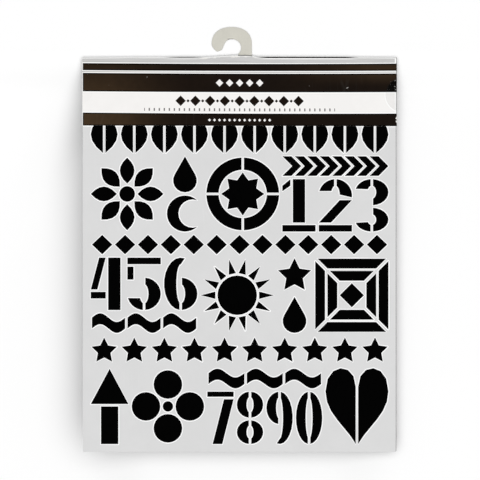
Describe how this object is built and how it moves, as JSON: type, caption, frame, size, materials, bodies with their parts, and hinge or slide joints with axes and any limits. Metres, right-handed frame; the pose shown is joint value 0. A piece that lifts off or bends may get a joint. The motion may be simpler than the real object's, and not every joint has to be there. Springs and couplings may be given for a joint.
{
  "type": "packaged drawing stencil",
  "caption": "Flat plastic craft stencil with motif and digit cut-outs on a black backing card, held in a folded header card with a flat plastic hanging hook and clear round side seals.",
  "frame": {"origin": "under the middle of the pack's bounding box, on the surface that the pack lies on", "axes": "+X across the pack, +Y up the pack towards the hook, +Z out of the pack's front"},
  "size_m": [0.2008, 0.2712, 0.0025],
  "materials": {
    "milky_polyester": "satin milky sheet",
    "black_card": "matt dyed card",
    "printed_card": "printed coated card, dark bands on white",
    "hook_plastic": "translucent natural plastic",
    "adhesive": "tacky pad",
    "clear_film": "clear gloss film"
  },
  "bodies": {
    "header_back": {"header_back_flap": "printed_card", "hanger_hook": "hook_plastic", "hook_adhesive_pad": "adhesive", "seal_left_back": "clear_film", "seal_right_back": "clear_film"},
    "header_front": {"header_front_flap": "printed_card", "seal_left_front": "clear_film", "seal_right_front": "clear_film"},
    "stencil": {"stencil_sheet": "milky_polyester"},
    "backing": {"backing_card": "black_card"}
  },
  "joints": [
    {"name": "flap_hinge", "type": "hinge", "parent": "header_back", "child": "header_front", "pos_m": [0, 0.11225, 0.00235], "axis": [-1, 0, 0], "range_deg": [0, 170]},
    {"name": "stencil_slide", "type": "slide", "parent": "header_back", "child": "stencil", "axis": [0, -1, 0], "range_m": [0, 0.045]},
    {"name": "backing_slide", "type": "slide", "parent": "header_back", "child": "backing", "axis": [0, -1, 0], "range_m": [0, 0.045]}
  ]
}
